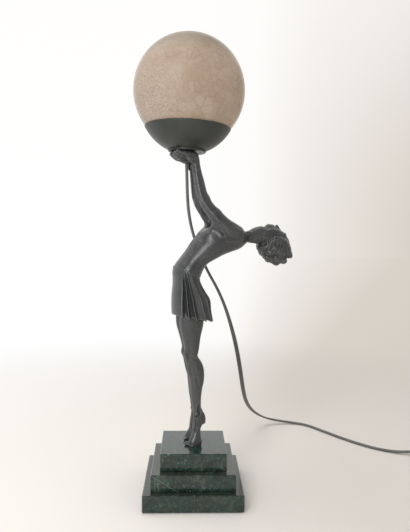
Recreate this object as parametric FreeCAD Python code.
import FreeCAD, Part
import math
import os

# Figural table lamp, in millimetres. +Z is up, +X to the right of the viewer and +Y away from the viewer.
# The origin is the centre of the base's underside. The lamp stands on z = 0.

V = FreeCAD.Vector
TURN = 2.0 * math.pi

# ---- base -----------------------------------------------------------------------------------------
FELT_THICKNESS = 1.0
FELT_MARGIN = 3.0               # the felt stops this far inside the slab's edge
BOTTOM_SLAB_WIDTH = 130.0
BOTTOM_SLAB_THICKNESS = 22.0
MIDDLE_SLAB_WIDTH = 110.0
MIDDLE_SLAB_THICKNESS = 22.0
TOP_SLAB_WIDTH = 87.0
TOP_SLAB_THICKNESS = 23.0
SLAB_CHAMFER = 0.8              # the polished slabs' softened edges
STUD_DIAMETER = 6.0             # threaded rod cast into each foot
STUD_BORE_CLEARANCE = 0.5       # radial, between rod and marble
STUD_DEPTH_IN_FOOT = 9.0
STUD_SPARE_THREAD = 2.0         # below the nut
NUT_RECESS_DIAMETER = 20.0
NUT_RECESS_DEPTH = 10.0
WASHER_DIAMETER = 16.0
WASHER_THICKNESS = 1.2
NUT_ACROSS_FLATS = 10.0
NUT_THICKNESS = 5.0

# ---- figure ---------------------------------------------------------------------------------------
FIGURE_X = -7.0                 # where the figure's own frame stands on the base
FIGURE_Y = -2.0
FIGURE_YAW = 18.0               # degrees, from the viewer's right-hand direction to the figure's back
SHOULDER_TWIST = 0.12           # how far the shoulders' line turns from the hips' line
HEM_RECESS_DEPTH = 8.0
HEM_WALL = 3.0
HEM_OPEN_BELOW = 2.0            # the recess starts this far under the hem
HEM_SLOPE = 0.1                 # how far the recess leans forward for each unit of height
PLEAT_DEPTH = 0.045             # of the skirt's half width, at the hem
PLEATS_AROUND = 18
CASTING_BORE_CLEARANCE = 0.1    # radial, round the hollow rod in the hands' lug
HANDS_CUT_BLOCK = 200.0         # side of the block that cuts the hands flat under the collar

# ---- gallery: what the hands carry ----------------------------------------------------------------
GALLERY_X = -11.8               # the collar's centre
GALLERY_Y = 0.0
GALLERY_HEIGHT = 396.0          # the collar's underside above the top slab
GALLERY_TILT = 1.8              # degrees, leaning to the viewer's right
COLLAR_RADIUS = 25.8
COLLAR_THICKNESS = 2.6
COLLAR_BEAD_RADIUS = 1.0
LUG_RADIUS = 8.0
LUG_LENGTH = 10.5
ROD_RADIUS = 5.0                # hollow threaded rod through collar, bowl and lampholder
ROD_BORE_RADIUS = 3.6
ROD_NUT_ACROSS_FLATS = 13.0
ROD_NUT_THICKNESS = 3.0
BUSH_FLANGE_RADIUS = 4.8
BUSH_FLANGE_THICKNESS = 1.5
BUSH_LENGTH = 6.0
CORD_WAY_BELOW_BUSH = 4.0       # the hands are cut back round the nut, the bush and this much of the cord
BOWL_RADIUS = 66.0              # of the bowl's sphere
BOWL_RIM_RADIUS = 58.0
BOWL_WALL = 1.3
RIM_SEAT_CLEARANCE = 0.3        # between the bowl's rim and the globe that rests in it
GLOBE_RADIUS = 74.5
GLOBE_WALL = 2.2
GLOBE_MOUTH_RADIUS = 40.0
GLOBE_LIFT = 150.0

# ---- lampholder and bulb --------------------------------------------------------------------------
HOLDER_RADIUS = 20.0
HOLDER_CAP_HEIGHT = 16.0
HOLDER_CAP_FOOT_RADIUS = 12.4   # where the cap stands on the bowl's nut
ROD_REACH_IN_CAP = 9.6
HOLDER_SHELL_HEIGHT = 30.0
HOLDER_WALL = 1.8
HOLDER_RING_HEIGHT = 7.0
HOLDER_RING_PROUD = 3.0
INSERT_CLEARANCE = 0.3
INSERT_FLOOR = 6.0
BULB_CAP_RADIUS = 13.0
BULB_RUNNING_CLEARANCE = 0.05
BULB_CAP_HEIGHT = 24.0
BULB_CONTACT_RADIUS = 4.5
BULB_CONTACT_HEIGHT = 2.0
BULB_CONTACT_GAP = 0.3
BULB_RADIUS = 22.5
BULB_NECK_RADIUS = 12.6
BULB_NECK_OVERLAP = 1.0         # how far the neck runs on into the bulb's sphere
BULB_GLASS_HEIGHT = 52.0

# ---- cord -----------------------------------------------------------------------------------------
CORD_DIAMETER = 5.0             # round, with about the section of the flat twin lead it stands for
CORD_REST = 2.6                 # height of the centre line where the cord lies on the floor
DROP_ROUTE = [                  # from the bush under the hands to the switch; the first point follows the bush
    (-11.5, 2.5, 430.5), (-10.9, 11.0, 408.0), (-9.0, 22.0, 383.5), (-3.4, 32.5, 357.0),
    (6.2, 39.5, 330.0), (18.5, 45.0, 302.0), (33.0, 50.5, 277.5), (45.5, 57.5, 250.0),
    (56.5, 68.0, 217.0), (66.5, 84.5, 180.0), (75.5, 110.0, 136.5), (83.5, 145.0, 97.0),
    (93.0, 182.0, 67.0), (105.5, 214.0, 44.5), (121.0, 243.0, 26.0), (140.0, 262.0, 12.5),
    (165.0, 267.0, 6.0), (190.0, 266.0, 2.9), (208.0, 260.5, 2.6), (223.0, 246.0, 2.6),
    (239.5, 221.0, 2.6), (261.0, 190.5, 2.6), (285.0, 161.0, 2.6), (309.0, 138.5, 2.6),
    (334.0, 124.0, 3.2), (356.0, 117.0, 6.0), (375.0, 114.0, 7.5), (393.0, 111.0, 7.5)]
SWITCH_LENGTH = 62.0
SWITCH_WIDTH = 26.0
SWITCH_HEIGHT = 15.0
SWITCH_END_WIDTH = 12.0         # where the cord goes in
SWITCH_TAPER_LENGTH = 15.5      # from each end to the full width
SWITCH_WELL_LENGTH = 22.0
SWITCH_WELL_WIDTH = 12.0
SWITCH_WELL_DEPTH = 5.0
ROCKER_CLEARANCE = 0.4
ROCKER_PIVOT_RADIUS = 1.2
ROCKER_PIVOT_CLEARANCE = 0.05
ROCKER_PIN_SEAT = 2.0           # how far each pivot pin reaches into the cover
ROCKER_PIN_END_CLEARANCE = 0.3
ROCKER_SWING_CLEARANCE = 0.6    # more room at each end, for the rocker's swing
ROCKER_DISH = 0.8               # the middle of the rocker's top lies this much lower
ROCKER_HEEL = 0.5               # the rocker's underside above the pivot at its ends, and below the pin
ROCKER_ANGLE = 11.0             # degrees each way
ROCKER_RISE = 1.2               # of the pressed end's top above the body
LEAD_ROUTE = [                  # from the switch to the coil's outer turn, in the coil's own frame
    (0.0, 0.0, 7.5), (14.0, 0.0, 7.5), (28.0, 1.0, 5.0), (43.0, 2.0, 2.6), (58.0, 0.0, 2.6)]
COIL_OUTER_RADIUS = 43.0        # to the centre of the outer turn
COIL_PITCH = 7.2
COIL_QUARTERS_BELOW = 8         # quarter turns that spiral in on the floor
COIL_QUARTERS_ABOVE = 5         # quarter turns that spiral out again on top of them
COIL_LAYER_RISE = 5.5
TAIL_ROUTE = [                  # from the coil's end to the plug, in the tail's own frame; heights above the floor
    (0.0, 0.0, 8.1), (12.0, 0.0, 8.1), (25.0, 0.5, 8.0), (37.0, 0.6, 7.1), (50.0, 0.0, 7.0)]
TANGENT_STEP = 0.02             # of a quarter turn, for the coil's directions
GAP_STEP = 2.0                  # along the coil, where its gap to itself is measured
GAP_APART = 4.0                 # cord diameters along the coil that count as the same stretch
PLUG_LENGTH = 34.0
PLUG_WIDTH = 35.0
PLUG_THICKNESS = 14.0
PLUG_NECK_LENGTH = 16.0
PLUG_NECK_RADIUS = 5.2
PLUG_NECK_WALL = 0.9            # round the cord where the neck begins
PLUG_SHOULDER_LENGTH = 11.9     # from the neck to the full width
PLUG_CORNER_RADIUS = 2.5
PIN_RADIUS = 2.0
PIN_LENGTH = 19.0
PIN_SPACING = 18.6
PIN_ROOT_LENGTH = 4.0           # each pin's thinner root inside the plug's body
PIN_ROOT_RADIUS = 1.5

# ---- what follows from them -----------------------------------------------------------------------
CORD_RADIUS = CORD_DIAMETER / 2.0
BASE_TOP = FELT_THICKNESS + BOTTOM_SLAB_THICKNESS + MIDDLE_SLAB_THICKNESS + TOP_SLAB_THICKNESS
YAW = math.radians(FIGURE_YAW)
SIDE = V(0.0, 1.0, 0.0)         # the figure's right-hand side, in its own frame
STUD_PLACES = [("left", 7.0, -12.5), ("right", 7.5, 11.0)]

parts = {}


def unit(vector):
    return vector * (1.0 / vector.Length)


def figure_turn(vector):
    """Turn a direction from the figure's own frame into the lamp's frame."""
    return V(vector.x * math.cos(YAW) - vector.y * math.sin(YAW),
             vector.x * math.sin(YAW) + vector.y * math.cos(YAW), vector.z)


def figure_point(back, side, height):
    """A place in the lamp's frame: back = behind the figure, side = to its right, height above the slab."""
    return figure_turn(V(back, side, height)) + V(FIGURE_X, FIGURE_Y, BASE_TOP)


def ring(centre, axis, side, half_side, half_front, count=12, ripple=None):
    """A smooth closed outline round centre, square to axis."""
    axis = unit(axis)
    side = unit(side - axis * side.dot(axis))
    front = axis.cross(side)
    points = []
    for i in range(count):
        angle = TURN * i / count
        swell = 1.0 + (ripple(angle) if ripple else 0.0)
        points.append(centre + side * (half_side * swell * math.cos(angle))
                      + front * (half_front * swell * math.sin(angle)))
    curve = Part.BSplineCurve()
    curve.interpolate(points, PeriodicFlag=True)
    return Part.Wire([curve.toShape()])


def loft(rings):
    return Part.makeLoft(rings, True, False)


def limb(path, side=SIDE):
    """A loft along (back, side, height, half side, half front) rows, each outline square to the path."""
    centres = [figure_point(*row[:3]) for row in path]
    rings = []
    for i, row in enumerate(path):
        before = centres[max(i - 1, 0)]
        after = centres[min(i + 1, len(path) - 1)]
        rings.append(ring(centres[i], after - before, figure_turn(side), row[3], row[4]))
    return loft(rings)


def profile(sections, side=SIDE, count=12, ripples=None):
    """A loft through (back, height, lean, half side, half front) rows; lean is the axis's angle from upright."""
    rings = []
    for i, (back, height, lean, half_side, half_front) in enumerate(sections):
        angle = math.radians(lean)
        axis = figure_turn(V(math.sin(angle), 0.0, math.cos(angle)))
        ripple = ripples[i] if ripples else None
        rings.append(ring(figure_point(back, 0.0, height), axis, figure_turn(side),
                          half_side, half_front, count, ripple))
    return loft(rings)


def cylinder(radius, height, base=V(0, 0, 0), axis=V(0, 0, 1)):
    return Part.makeCylinder(radius, height, base, axis)


def hex_prism(across_flats, height, bottom):
    corner = across_flats / math.sqrt(3.0)
    points = [bottom + V(corner * math.cos(TURN * i / 6), corner * math.sin(TURN * i / 6), 0) for i in range(7)]
    return Part.Face(Part.makePolygon(points)).extrude(V(0, 0, height))


def revolve(edges):
    """A solid of revolution about Z from edges in the XZ half plane."""
    return Part.Face(Part.Wire(edges)).revolve(V(0, 0, 0), V(0, 0, 1), 360)


def line(a, b):
    return Part.LineSegment(a, b).toShape()


# ---- base -----------------------------------------------------------------------------------------
def slab(width, thickness, bottom, bores):
    block = Part.makeBox(width, width, thickness, V(-width / 2, -width / 2, bottom))
    block = block.makeChamfer(SLAB_CHAMFER, block.Edges)
    for bore in bores:
        block = block.cut(bore)
    return block


def build_base():
    bore_radius = STUD_DIAMETER / 2 + STUD_BORE_CLEARANCE
    places = [(name, figure_point(back, side, 0.0)) for name, back, side in STUD_PLACES]
    bores = [cylinder(bore_radius, BASE_TOP, V(p.x, p.y, 0)) for _, p in places]
    recesses = [cylinder(NUT_RECESS_DIAMETER / 2, NUT_RECESS_DEPTH, V(p.x, p.y, FELT_THICKNESS)) for _, p in places]
    felt_width = BOTTOM_SLAB_WIDTH - 2 * FELT_MARGIN
    parts["felt_pad"] = Part.makeBox(felt_width, felt_width, FELT_THICKNESS, V(-felt_width / 2, -felt_width / 2, 0))
    bottom = FELT_THICKNESS
    parts["slab_bottom"] = slab(BOTTOM_SLAB_WIDTH, BOTTOM_SLAB_THICKNESS, bottom, bores + recesses)
    bottom += BOTTOM_SLAB_THICKNESS
    parts["slab_middle"] = slab(MIDDLE_SLAB_WIDTH, MIDDLE_SLAB_THICKNESS, bottom, bores)
    bottom += MIDDLE_SLAB_THICKNESS
    parts["slab_top"] = slab(TOP_SLAB_WIDTH, TOP_SLAB_THICKNESS, bottom, bores)
    washer_top = FELT_THICKNESS + NUT_RECESS_DEPTH
    nut_top = washer_top - WASHER_THICKNESS
    nut_bottom = nut_top - NUT_THICKNESS
    stud_bottom = nut_bottom - STUD_SPARE_THREAD
    stud_top = BASE_TOP + STUD_DEPTH_IN_FOOT
    for name, p in places:
        rod = cylinder(STUD_DIAMETER / 2, stud_top - stud_bottom, V(p.x, p.y, stud_bottom))
        washer = cylinder(WASHER_DIAMETER / 2, WASHER_THICKNESS, V(p.x, p.y, nut_top))
        nut = hex_prism(NUT_ACROSS_FLATS, NUT_THICKNESS, V(p.x, p.y, nut_bottom))
        parts[name + "_stud"] = rod
        parts[name + "_washer"] = washer.cut(rod)
        parts[name + "_nut"] = nut.cut(rod)


# ---- figure ---------------------------------------------------------------------------------------
LEG_ROWS = [                    # height above the slab, back, side, half side, half front
    (0.0, 6.8, 13.0, 7.4, 9.0), (3.0, 6.6, 12.8, 7.8, 9.3), (7.0, 7.6, 12.2, 7.4, 8.2),
    (12.0, 9.3, 11.3, 6.6, 6.8), (18.0, 10.9, 10.6, 5.9, 6.2), (23.5, 11.8, 10.2, 5.9, 6.7),
    (29.0, 13.7, 9.9, 6.0, 8.7), (34.5, 14.2, 9.7, 5.9, 8.9), (40.0, 13.4, 9.6, 5.6, 7.9),
    (46.0, 10.9, 9.5, 5.6, 5.7), (51.5, 10.0, 9.5, 5.6, 5.5), (57.0, 9.8, 9.5, 6.0, 6.0),
    (68.5, 9.2, 9.6, 7.2, 7.3), (79.5, 9.3, 9.8, 8.5, 8.5), (90.5, 9.6, 10.0, 9.5, 9.8),
    (102.0, 8.8, 10.1, 9.4, 10.0), (110.0, 6.4, 10.2, 9.0, 9.6), (117.0, 3.6, 10.3, 8.6, 9.4),
    (124.0, 1.6, 10.5, 8.7, 9.1), (131.0, 1.1, 10.9, 9.0, 9.0), (141.0, 1.0, 11.7, 10.3, 10.6),
    (152.0, 0.7, 12.7, 11.6, 13.2), (163.0, 0.4, 13.8, 12.9, 15.8), (172.0, 1.0, 14.4, 13.7, 17.6),
    (190.0, 1.0, 14.8, 14.2, 18.0)]
LEG_STAGGER = 1.7               # the left leg stands this far forward, the right one this far back
SKIRT_ROWS = [                  # back, height, lean, half side, half front; from the hem to the waistband
    (4.2, 175.5, 5.0, 34.5, 26.4), (2.2, 188.0, 4.0, 33.8, 25.2), (1.3, 201.0, 5.0, 32.8, 24.4),
    (-1.5, 214.0, 12.0, 31.0, 20.8), (-3.6, 225.0, 22.0, 29.0, 19.6), (-4.2, 234.0, 28.7, 28.0, 20.0)]
TORSO_ROWS = [                  # from the waistband to the neck
    (-4.2, 234.0, 28.7, 27.4, 19.4), (1.2, 243.5, 32.0, 25.6, 17.4), (10.0, 256.0, 38.0, 25.0, 16.4),
    (20.2, 267.3, 45.0, 26.8, 18.4), (33.0, 277.0, 57.0, 30.0, 19.8), (48.0, 283.3, 66.0, 32.5, 17.4),
    (60.5, 284.0, 75.0, 33.0, 13.4), (70.6, 283.6, 80.0, 23.0, 9.8), (79.0, 284.2, 84.0, 11.0, 8.0)]
NECK_ROWS = [                   # back, side, height, half side, half front
    (79.0, 0.0, 284.5, 7.8, 7.4), (87.0, 0.0, 285.0, 7.2, 6.8), (96.0, 0.0, 284.6, 7.2, 6.8),
    (105.0, 0.0, 282.0, 7.8, 7.6), (113.0, 0.0, 278.0, 8.0, 8.0)]
HEAD_BACK = 127.0               # the head's middle, and how far its crown is thrown back
HEAD_HEIGHT = 275.0
HEAD_LEAN = 117.0               # degrees from upright
HEAD_ROWS = [                   # place along the crown's axis, shift to the front, half side, half front
    (-24.5, 11.0, 4.5, 4.5), (-21.0, 8.5, 8.2, 9.0), (-13.0, 3.5, 12.8, 15.5), (-3.0, 0.5, 15.6, 19.6),
    (8.0, -0.5, 16.4, 20.6), (16.0, -1.0, 14.5, 18.0), (22.0, -1.5, 10.0, 12.5), (24.5, -1.5, 5.0, 6.0)]
HAIR_ROWS = [
    (-17.0, -11.0, 9.0, 7.0), (-10.0, -7.5, 15.5, 14.0), (0.0, -4.0, 18.6, 20.5), (10.0, -3.5, 19.0, 22.0),
    (18.5, -4.5, 16.8, 19.5), (25.0, -6.0, 11.5, 13.5), (28.5, -7.0, 6.0, 7.0)]
LEFT_ARM_ROWS = [               # back, side, height, radius; from inside the shoulder to the wrist
    (64.0, -26.0, 280.5, 9.0), (55.0, -30.5, 288.0, 9.6), (45.0, -28.5, 296.0, 9.0), (35.6, -25.0, 304.0, 8.2),
    (27.0, -21.5, 313.0, 7.4), (19.0, -18.0, 323.5, 6.8), (13.5, -15.2, 333.0, 6.6), (10.5, -13.0, 342.0, 6.4),
    (8.9, -11.0, 354.0, 6.0), (7.5, -9.6, 365.0, 5.3), (5.8, -8.6, 375.5, 4.7), (4.2, -8.2, 383.0, 4.7)]
RIGHT_ARM_ROWS = [
    (70.0, 26.0, 284.0, 9.2), (62.0, 30.5, 291.0, 9.8), (51.5, 28.5, 300.5, 9.0), (42.0, 25.0, 308.0, 8.2),
    (32.5, 21.5, 316.0, 7.4), (23.5, 18.0, 323.5, 6.8), (17.5, 15.4, 331.0, 6.6), (14.5, 13.6, 338.5, 6.4),
    (11.7, 11.6, 351.0, 6.0), (9.5, 10.2, 365.0, 5.3), (7.3, 9.2, 375.5, 4.7), (4.2, 8.6, 383.0, 4.7)]
HAND_ROWS = [                   # back, side, height of the middle, half width, half thickness; heel to fingertips
    (7.5, 8.6, 391.0, 5.2, 4.6), (3.6, 8.6, 388.6, 6.6, 6.8), (-2.5, 8.8, 389.0, 7.6, 6.6),
    (-9.0, 9.0, 390.0, 7.8, 5.8), (-15.0, 9.0, 391.3, 7.2, 4.8), (-20.5, 8.8, 392.4, 6.2, 3.9),
    (-25.5, 8.6, 393.0, 4.6, 2.9)]


def pleat(depth):
    """Pleats round the sides and back of the skirt; its front panel stays smooth."""
    def ripple(angle):
        away_from_front = 0.5 - 0.5 * math.sin(angle)
        return depth * away_from_front * math.cos(PLEATS_AROUND * angle)
    return ripple


def build_skirt():
    last = len(SKIRT_ROWS) - 1
    ripples = [pleat(PLEAT_DEPTH * (last - i) / last) for i in range(last + 1)]
    outer = profile(SKIRT_ROWS, count=4 * PLEATS_AROUND, ripples=ripples)
    back, height, lean, half_side, half_front = SKIRT_ROWS[0]
    inner_rows = []
    for rise in (-HEM_OPEN_BELOW, HEM_RECESS_DEPTH):
        inner_rows.append((back - HEM_SLOPE * rise, height + rise, lean, half_side - HEM_WALL, half_front - HEM_WALL))
    return outer.cut(profile(inner_rows))


def build_leg(sign, skirt):
    rows = []
    for height, back, side, half_side, half_front in LEG_ROWS:
        rows.append((back - sign * LEG_STAGGER, height, sign * side, half_side, half_front))
    rings = [ring(figure_point(back, -side, height), V(0, 0, 1), figure_turn(SIDE), half_side, half_front)
             for back, height, side, half_side, half_front in rows]
    return loft(rings).cut(skirt)


def build_head():
    angle = math.radians(HEAD_LEAN)
    crown = V(math.sin(angle), 0.0, math.cos(angle))
    face = V(-math.cos(angle), 0.0, math.sin(angle))
    solids = []
    for rows in (HEAD_ROWS, HAIR_ROWS):
        rings = []
        for along, shift, half_side, half_front in rows:
            place = crown * along + face * shift + V(HEAD_BACK, 0.0, HEAD_HEIGHT)
            rings.append(ring(figure_point(place.x, place.y, place.z), figure_turn(crown), figure_turn(SIDE),
                              half_side, half_front))
        solids.append(loft(rings))
    neck = limb(NECK_ROWS)
    return neck.fuse(solids).removeSplitter()


def build_figure():
    skirt = build_skirt()
    left_leg = build_leg(1, skirt)
    right_leg = build_leg(-1, skirt)
    shoulder_side = V(SHOULDER_TWIST, 1.0, 0.0)
    rings = []
    for i, (back, height, lean, half_side, half_front) in enumerate(TORSO_ROWS):
        angle = math.radians(lean)
        axis = figure_turn(V(math.sin(angle), 0.0, math.cos(angle)))
        share = max(0.0, min(1.0, (i - 2) / 4.0))
        side = SIDE * (1.0 - share) + shoulder_side * share
        rings.append(ring(figure_point(back, 0.0, height), axis, figure_turn(side), half_side, half_front))
    torso = loft(rings)
    head = build_head().cut(torso)
    half_block = HANDS_CUT_BLOCK / 2
    collar_plane = place_gallery(Part.makeBox(HANDS_CUT_BLOCK, HANDS_CUT_BLOCK, half_block,
                                              V(-half_block, -half_block, 0)))
    lug = place_gallery(cylinder(LUG_RADIUS, LUG_LENGTH, V(0, 0, -LUG_LENGTH)))
    rod_bore = place_gallery(cylinder(ROD_RADIUS + CASTING_BORE_CLEARANCE, 2 * LUG_LENGTH, V(0, 0, -LUG_LENGTH)))
    below_lug = ROD_NUT_THICKNESS + BUSH_FLANGE_THICKNESS + CORD_WAY_BELOW_BUSH
    cord_way = place_gallery(cylinder(LUG_RADIUS, below_lug + LUG_LENGTH, V(0, 0, -below_lug - LUG_LENGTH)))
    for name, rows, sign in (("left", LEFT_ARM_ROWS, -1), ("right", RIGHT_ARM_ROWS, 1)):
        arm = limb([(b, s, h, r, r) for b, s, h, r in rows])
        hand = limb([(b, sign * s, h, w, t) for b, s, h, w, t in HAND_ROWS])
        hand = hand.cut(collar_plane).cut(cord_way)
        parts[name + "_hand"] = hand
        parts[name + "_arm"] = arm.cut(torso).cut(hand).cut(cord_way)
    parts["hand_lug"] = lug.cut(rod_bore)
    parts["torso"] = torso
    parts["head"] = head
    parts["skirt"] = skirt
    for name, leg in (("left", left_leg), ("right", right_leg)):
        parts[name + "_leg"] = leg.cut(parts[name + "_stud"])


# ---- gallery --------------------------------------------------------------------------------------
def place_gallery(shape):
    """Move a shape from the gallery's own frame, z = 0 on the hands, to its tilted place."""
    moved = shape.copy()
    moved.rotate(V(0, 0, 0), V(0, 1, 0), GALLERY_TILT)
    moved.translate(V(GALLERY_X, GALLERY_Y, BASE_TOP + GALLERY_HEIGHT))
    return moved


def gallery_point(x, y, z):
    tilt = math.radians(GALLERY_TILT)
    return V(GALLERY_X + x * math.cos(tilt) + z * math.sin(tilt), GALLERY_Y + y,
             BASE_TOP + GALLERY_HEIGHT - x * math.sin(tilt) + z * math.cos(tilt))


def arc_height(radius, across):
    return math.sqrt(radius * radius - across * across)


BOWL_CENTRE = COLLAR_THICKNESS + arc_height(BOWL_RADIUS, COLLAR_RADIUS)
RIM_HEIGHT = BOWL_CENTRE - arc_height(BOWL_RADIUS, BOWL_RIM_RADIUS)
BOWL_FLOOR = COLLAR_THICKNESS + BOWL_WALL
SEAT_RADIUS = BOWL_RIM_RADIUS - BOWL_WALL
GLOBE_CENTRE = RIM_HEIGHT + arc_height(GLOBE_RADIUS + RIM_SEAT_CLEARANCE, SEAT_RADIUS)
HOLDER_BOTTOM = BOWL_FLOOR + ROD_NUT_THICKNESS
SHELL_BOTTOM = HOLDER_BOTTOM + HOLDER_CAP_HEIGHT
SHELL_TOP = SHELL_BOTTOM + HOLDER_SHELL_HEIGHT
INSERT_BOTTOM = SHELL_BOTTOM
CONTACT_BOTTOM = INSERT_BOTTOM + INSERT_FLOOR + BULB_CONTACT_GAP
BULB_CAP_BOTTOM = CONTACT_BOTTOM + BULB_CONTACT_HEIGHT
BULB_GLASS_BOTTOM = BULB_CAP_BOTTOM + BULB_CAP_HEIGHT
ROD_TOP = HOLDER_BOTTOM + ROD_REACH_IN_CAP


def arc_point(centre, radius, degrees):
    angle = math.radians(degrees)
    return V(radius * math.cos(angle), 0, centre + radius * math.sin(angle))


def sphere_band(centre, radius, wall, low_radius, high_radius, upper_high=False):
    """The revolved wall of a hollow sphere, from one cut circle up to another."""
    inner = radius - wall
    low = -math.degrees(math.acos(low_radius / radius))
    low_in = -math.degrees(math.acos(min(low_radius / inner, 1.0)))
    high = -math.degrees(math.acos(high_radius / radius)) if not upper_high else 90.0
    high_in = -math.degrees(math.acos(min((high_radius - wall) / inner, 1.0))) if not upper_high else 90.0
    a, b = arc_point(centre, radius, low), arc_point(centre, radius, high)
    c, d = arc_point(centre, inner, high_in), arc_point(centre, inner, low_in)
    outer_mid = arc_point(centre, radius, (low + high) / 2)
    inner_mid = arc_point(centre, inner, (low_in + high_in) / 2)
    edges = [Part.Arc(a, outer_mid, b).toShape(), line(b, c), Part.Arc(c, inner_mid, d).toShape(), line(d, a)]
    return revolve(edges)


def build_gallery():
    hole = cylinder(ROD_RADIUS, COLLAR_THICKNESS + BOWL_WALL)
    collar = cylinder(COLLAR_RADIUS - COLLAR_BEAD_RADIUS, COLLAR_THICKNESS)
    bead = Part.makeTorus(COLLAR_RADIUS - COLLAR_BEAD_RADIUS, COLLAR_BEAD_RADIUS,
                          V(0, 0, COLLAR_THICKNESS - COLLAR_BEAD_RADIUS))
    collar = collar.fuse(bead).removeSplitter().cut(hole)
    wall = sphere_band(BOWL_CENTRE, BOWL_RADIUS, BOWL_WALL, COLLAR_RADIUS, BOWL_RIM_RADIUS)
    floor = cylinder(COLLAR_RADIUS, BOWL_WALL, V(0, 0, COLLAR_THICKNESS))
    bowl = wall.fuse(floor).removeSplitter().cut(hole)
    rod_bottom = -LUG_LENGTH - ROD_NUT_THICKNESS
    rod = cylinder(ROD_RADIUS, ROD_TOP - rod_bottom, V(0, 0, rod_bottom))
    bore = cylinder(ROD_BORE_RADIUS, ROD_TOP - rod_bottom, V(0, 0, rod_bottom))
    upper_nut = hex_prism(ROD_NUT_ACROSS_FLATS, ROD_NUT_THICKNESS, V(0, 0, BOWL_FLOOR)).cut(rod)
    lower_nut = hex_prism(ROD_NUT_ACROSS_FLATS, ROD_NUT_THICKNESS, V(0, 0, rod_bottom)).cut(rod)
    bush_bottom = rod_bottom - BUSH_FLANGE_THICKNESS
    bush = cylinder(BUSH_FLANGE_RADIUS, BUSH_FLANGE_THICKNESS, V(0, 0, bush_bottom))
    bush = bush.fuse(cylinder(ROD_BORE_RADIUS, BUSH_LENGTH, V(0, 0, rod_bottom))).removeSplitter()
    bush = bush.cut(cylinder(CORD_RADIUS, BUSH_LENGTH, V(0, 0, bush_bottom + BUSH_FLANGE_THICKNESS)))
    globe = sphere_band(GLOBE_CENTRE, GLOBE_RADIUS, GLOBE_WALL, GLOBE_MOUTH_RADIUS, 0.0, upper_high=True)
    shapes = {"collar": collar, "bowl": bowl, "hollow_rod": rod.cut(bore), "bowl_nut": upper_nut,
              "hand_nut": lower_nut, "cord_bush": bush, "globe": globe}
    shapes.update(build_lampholder(rod))
    for name, shape in shapes.items():
        parts[name] = place_gallery(shape)


def build_lampholder(rod):
    shell_inner = HOLDER_RADIUS - HOLDER_WALL
    cap = Part.makeCone(HOLDER_CAP_FOOT_RADIUS, HOLDER_RADIUS, HOLDER_CAP_HEIGHT, V(0, 0, HOLDER_BOTTOM))
    cavity = Part.makeCone(HOLDER_CAP_FOOT_RADIUS - HOLDER_WALL, shell_inner, HOLDER_CAP_HEIGHT - HOLDER_WALL,
                           V(0, 0, HOLDER_BOTTOM + HOLDER_WALL))
    shell = cylinder(HOLDER_RADIUS, HOLDER_SHELL_HEIGHT, V(0, 0, SHELL_BOTTOM))
    shell = shell.cut(cylinder(shell_inner, HOLDER_SHELL_HEIGHT, V(0, 0, SHELL_BOTTOM)))
    ring_bottom = SHELL_TOP - 2 * HOLDER_RING_HEIGHT
    ring_shape = cylinder(HOLDER_RADIUS + HOLDER_RING_PROUD, HOLDER_RING_HEIGHT, V(0, 0, ring_bottom))
    ring_shape = ring_shape.cut(cylinder(HOLDER_RADIUS, HOLDER_RING_HEIGHT, V(0, 0, ring_bottom)))
    insert_radius = shell_inner - INSERT_CLEARANCE
    socket_radius = BULB_CAP_RADIUS + BULB_RUNNING_CLEARANCE
    insert = cylinder(insert_radius, HOLDER_SHELL_HEIGHT - HOLDER_WALL, V(0, 0, INSERT_BOTTOM))
    insert = insert.cut(cylinder(socket_radius, HOLDER_SHELL_HEIGHT, V(0, 0, INSERT_BOTTOM + INSERT_FLOOR)))
    contact = cylinder(BULB_CONTACT_RADIUS, BULB_CONTACT_HEIGHT, V(0, 0, CONTACT_BOTTOM))
    bulb_cap = cylinder(BULB_CAP_RADIUS, BULB_CAP_HEIGHT, V(0, 0, BULB_CAP_BOTTOM))
    globe_centre = BULB_GLASS_BOTTOM + BULB_GLASS_HEIGHT - BULB_RADIUS
    neck_top = globe_centre - arc_height(BULB_RADIUS, BULB_NECK_RADIUS)
    glass = Part.makeSphere(BULB_RADIUS, V(0, 0, globe_centre))
    neck_height = neck_top - BULB_GLASS_BOTTOM + BULB_NECK_OVERLAP
    glass = glass.fuse(cylinder(BULB_NECK_RADIUS, neck_height, V(0, 0, BULB_GLASS_BOTTOM)))
    return {"holder_cap": cap.cut(cavity).cut(rod), "holder_shell": shell, "holder_ring": ring_shape,
            "holder_insert": insert, "bulb_contact": contact, "bulb_cap": bulb_cap,
            "bulb_glass": glass.removeSplitter()}


# ---- cord -----------------------------------------------------------------------------------------
def corner_radius(before, corner, after):
    first, second = corner - before, after - corner
    turn = first.getAngle(second)
    reach = 0.45 * min(first.Length, second.Length)
    return reach / math.tan(turn / 2), reach


def cord_tube(name, points, radius):
    """A tube of straight runs joined by tangent arcs, each as large as its two runs allow."""
    edges, radii = [], []
    start = points[0]
    for i in range(1, len(points) - 1):
        arc_radius, reach = corner_radius(points[i - 1], points[i], points[i + 1])
        radii.append(arc_radius)
        into = unit(points[i] - points[i - 1])
        out = unit(points[i + 1] - points[i])
        a, b = points[i] - into * reach, points[i] + out * reach
        bisector = unit(out - into)
        centre_distance = math.hypot(arc_radius, reach)
        middle = points[i] + bisector * (centre_distance - arc_radius)
        edges.append(line(start, a))
        edges.append(Part.Arc(a, middle, b).toShape())
        start = b
    edges.append(line(start, points[-1]))
    path = Part.Wire(edges)
    section = Part.Wire([Part.Circle(points[0], points[1] - points[0], radius).toShape()])
    tube = path.makePipeShell([section], True, False)
    expected = math.pi * radius * radius * path.Length
    print("%s: length %.1f, smallest arc %.1f, volume %.0f against %.0f"
          % (name, path.Length, min(radii), tube.Volume, expected))
    return tube, path.Length


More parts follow.
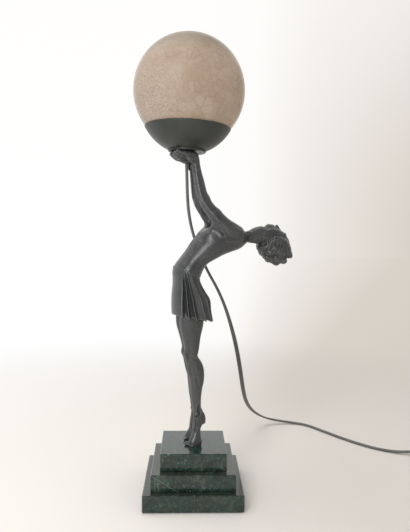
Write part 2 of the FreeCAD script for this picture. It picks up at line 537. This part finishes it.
def arc_between(start, tangent, end):
    """The arc that leaves start along tangent and ends at end."""
    chord = end - start
    angle = tangent.getAngle(chord)
    sideways = tangent - unit(chord) * tangent.dot(unit(chord))
    sagitta = chord.Length / 2 * math.tan(angle / 2)
    return Part.Arc(start, (start + end) * 0.5 + unit(sideways) * sagitta, end).toShape()


def biarc(start, start_tangent, end, end_tangent):
    """Two arcs that join two points and keep both tangents."""
    across = end - start
    total = start_tangent + end_tangent
    square = 2.0 * (1.0 - start_tangent.dot(end_tangent))
    linear = across.dot(total)
    reach = (-linear + math.sqrt(linear * linear + square * across.dot(across))) / square
    joint = (start + start_tangent * reach + end - end_tangent * reach) * 0.5
    return [arc_between(start, start_tangent, joint), arc_between(end, end_tangent * -1.0, joint).reversed()]


def coil_point(quarter):
    """The coil's centre line after so many quarter turns; it spirals in below and out again above."""
    inward = min(quarter, 2 * COIL_QUARTERS_BELOW - quarter)
    radius = COIL_OUTER_RADIUS - COIL_PITCH * inward / 4.0
    climb = max(0.0, min(1.0, (quarter - COIL_QUARTERS_BELOW + 1) / 2.0))
    angle = TURN * quarter / 4.0
    return V(radius * math.sin(angle), COIL_OUTER_RADIUS - radius * math.cos(angle),
             CORD_REST + COIL_LAYER_RISE * climb)


def coil_path():
    quarters = COIL_QUARTERS_BELOW + COIL_QUARTERS_ABOVE
    points = [coil_point(q) for q in range(quarters + 1)]
    tangents = []
    for i in range(quarters + 1):
        ahead, behind = coil_point(min(i + TANGENT_STEP, quarters)), coil_point(max(i - TANGENT_STEP, 0))
        tangents.append(unit(ahead - behind))
    last_angle = TURN * quarters / 4.0
    tangents[0] = V(1, 0, 0)
    tangents[-1] = V(round(math.cos(last_angle)), round(math.sin(last_angle)), 0)
    edges = [line(points[0] - V(CORD_DIAMETER, 0, 0), points[0])]
    for i in range(quarters):
        edges += biarc(points[i], tangents[i], points[i + 1], tangents[i + 1])
    coil_end = points[-1] + tangents[-1] * CORD_DIAMETER
    edges.append(line(points[-1], coil_end))
    return Part.Wire(edges), coil_end, last_angle


def least_gap(path, radius):
    """The least distance between two stretches of one tube, measured on points along its centre line."""
    points = path.discretize(Number=int(path.Length / GAP_STEP))
    least = path.Length
    apart = int(GAP_APART * 2 * radius / GAP_STEP)
    for i in range(len(points)):
        for j in range(i + apart, len(points)):
            least = min(least, (points[i] - points[j]).Length)
    return least - 2 * radius


def laid(shape, origin, angle):
    """Move a shape on the floor: turned by angle about Z, then put at origin."""
    moved = shape.copy()
    moved.rotate(V(0, 0, 0), V(0, 0, 1), math.degrees(angle))
    moved.translate(V(origin.x, origin.y, 0))
    return moved


def build_switch():
    """An in-line switch along +X from the origin, lying on the floor."""
    half = SWITCH_HEIGHT / 2
    end = SWITCH_END_WIDTH / 2
    wide = SWITCH_WIDTH / 2
    near, far = SWITCH_TAPER_LENGTH, SWITCH_LENGTH - SWITCH_TAPER_LENGTH
    outline = [V(0, -end, 0), V(near, -wide, 0), V(far, -wide, 0), V(SWITCH_LENGTH, -end, 0),
               V(SWITCH_LENGTH, end, 0), V(far, wide, 0), V(near, wide, 0), V(0, end, 0), V(0, -end, 0)]
    lower = Part.Face(Part.makePolygon(outline)).extrude(V(0, 0, half))
    upper = lower.copy()
    upper.translate(V(0, 0, half))
    middle = SWITCH_LENGTH / 2
    well = Part.makeBox(SWITCH_WELL_LENGTH, SWITCH_WELL_WIDTH, SWITCH_WELL_DEPTH,
                        V(middle - SWITCH_WELL_LENGTH / 2, -SWITCH_WELL_WIDTH / 2, SWITCH_HEIGHT - SWITCH_WELL_DEPTH))
    pivot_height = SWITCH_HEIGHT - SWITCH_WELL_DEPTH / 2
    pin_half = SWITCH_WELL_WIDTH / 2 + ROCKER_PIN_SEAT
    bore_half = pin_half + ROCKER_PIN_END_CLEARANCE
    pivot_bore = cylinder(ROCKER_PIVOT_RADIUS + ROCKER_PIVOT_CLEARANCE, 2 * bore_half,
                          V(middle, -bore_half, pivot_height), V(0, 1, 0))
    upper = upper.cut(well).cut(pivot_bore)
    rocker_half = SWITCH_WELL_LENGTH / 2 - 2 * ROCKER_CLEARANCE - ROCKER_SWING_CLEARANCE
    rocker_wide = SWITCH_WELL_WIDTH - 2 * ROCKER_CLEARANCE
    top = SWITCH_HEIGHT - pivot_height + ROCKER_RISE
    end_rise = 0.3 * rocker_half * math.tan(math.radians(ROCKER_ANGLE))
    side = [V(-rocker_half, 0, top + end_rise), V(0, 0, top - ROCKER_DISH), V(rocker_half, 0, top + end_rise),
            V(rocker_half, 0, ROCKER_HEEL), V(0, 0, -ROCKER_PIVOT_RADIUS - ROCKER_HEEL),
            V(-rocker_half, 0, ROCKER_HEEL)]
    side.append(side[0])
    rocker = Part.Face(Part.makePolygon(side)).extrude(V(0, rocker_wide, 0))
    rocker.translate(V(middle, -rocker_wide / 2, pivot_height))
    rocker = rocker.fuse(cylinder(ROCKER_PIVOT_RADIUS, 2 * pin_half, V(middle, -pin_half, pivot_height), V(0, 1, 0)))
    return {"switch_base": lower, "switch_cover": upper, "switch_rocker": rocker.removeSplitter()}


def build_plug(centre_height):
    """A two-pin plug along +X from the origin; its neck begins at the cord's end."""
    neck = Part.makeCone(CORD_RADIUS + PLUG_NECK_WALL, PLUG_NECK_RADIUS, PLUG_NECK_LENGTH, V(0, 0, centre_height), V(1, 0, 0))
    half = PLUG_WIDTH / 2
    shoulder = PLUG_NECK_LENGTH + PLUG_SHOULDER_LENGTH
    front = PLUG_NECK_LENGTH + PLUG_LENGTH
    outline = [V(PLUG_NECK_LENGTH, -PLUG_NECK_RADIUS, 0), V(shoulder, -half, 0), V(front, -half, 0), V(front, half, 0),
               V(shoulder, half, 0), V(PLUG_NECK_LENGTH, PLUG_NECK_RADIUS, 0)]
    outline.append(outline[0])
    body = Part.Face(Part.makePolygon(outline)).extrude(V(0, 0, PLUG_THICKNESS))
    body.translate(V(0, 0, centre_height - PLUG_THICKNESS / 2))
    body = body.makeFillet(PLUG_CORNER_RADIUS, [e for e in body.Edges if abs(e.tangentAt(e.FirstParameter).z) > 0.9])
    body = body.fuse(neck).removeSplitter()
    pins = {}
    for name, sign in (("plug_pin_1", -1), ("plug_pin_2", 1)):
        side = sign * PIN_SPACING / 2
        pin = cylinder(PIN_RADIUS, PIN_LENGTH, V(front, side, centre_height), V(1, 0, 0))
        root = cylinder(PIN_ROOT_RADIUS, PIN_ROOT_LENGTH, V(front - PIN_ROOT_LENGTH, side, centre_height), V(1, 0, 0))
        pins[name] = pin.fuse(root)
        body = body.cut(root)
    pins["plug_body"] = body
    return pins


def build_cord():
    drop = [gallery_point(0, 0, -LUG_LENGTH - ROD_NUT_THICKNESS - BUSH_FLANGE_THICKNESS)]
    drop += [V(*p) for p in DROP_ROUTE]
    parts["cord_drop"], drop_length = cord_tube("cord_drop", drop, CORD_RADIUS)
    heading = drop[-1] - drop[-2]
    angle = math.atan2(heading.y, heading.x)
    along = V(math.cos(angle), math.sin(angle), 0)
    for name, shape in build_switch().items():
        parts[name] = laid(shape, drop[-1], angle)
    lead_start = drop[-1] + along * SWITCH_LENGTH
    lead, lead_length = cord_tube("cord_lead", [V(*p) for p in LEAD_ROUTE], CORD_RADIUS)
    parts["cord_lead"] = laid(lead, lead_start, angle)
    coil_start = lead_start + along * (LEAD_ROUTE[-1][0] + CORD_DIAMETER)
    path, coil_end, coil_turn = coil_path()
    section = Part.Wire([Part.Circle(coil_point(0) - V(CORD_DIAMETER, 0, 0), V(1, 0, 0), CORD_RADIUS).toShape()])
    coil = path.makePipeShell([section], True, False)
    print("cord_coil: length %.1f, least gap to itself %.2f, volume %.0f against %.0f"
          % (path.Length, least_gap(path, CORD_RADIUS), coil.Volume, math.pi * CORD_RADIUS ** 2 * path.Length))
    parts["cord_coil"] = laid(coil, coil_start, angle)
    across = V(-math.sin(angle), math.cos(angle), 0)
    tail_start = coil_start + along * coil_end.x + across * coil_end.y
    tail, tail_length = cord_tube("cord_tail", [V(*p) for p in TAIL_ROUTE], CORD_RADIUS)
    parts["cord_tail"] = laid(tail, tail_start, angle + coil_turn)
    tail_end = TAIL_ROUTE[-1][0]
    plug_start = tail_start + V(math.cos(angle + coil_turn), math.sin(angle + coil_turn), 0) * tail_end
    for name, shape in build_plug(TAIL_ROUTE[-1][2]).items():
        parts[name] = laid(shape, plug_start, angle + coil_turn)
    whole = drop_length + SWITCH_LENGTH + lead_length + path.Length + tail_length
    print("cord from the bush to the plug: %.0f" % whole)


build_base()
build_figure()
build_gallery()
build_cord()
os.makedirs("parts", exist_ok=True)
for node, shape in parts.items():
    if len(shape.Solids) == 1:
        shape = shape.Solids[0]
    shape.exportStep("parts/%s.step" % node)
    box = shape.BoundBox
    print("%-14s solids %d valid %s volume %9.0f  x %.1f..%.1f y %.1f..%.1f z %.1f..%.1f"
          % (node, len(shape.Solids), shape.isValid(), shape.Volume, box.XMin, box.XMax, box.YMin, box.YMax,
             box.ZMin, box.ZMax))
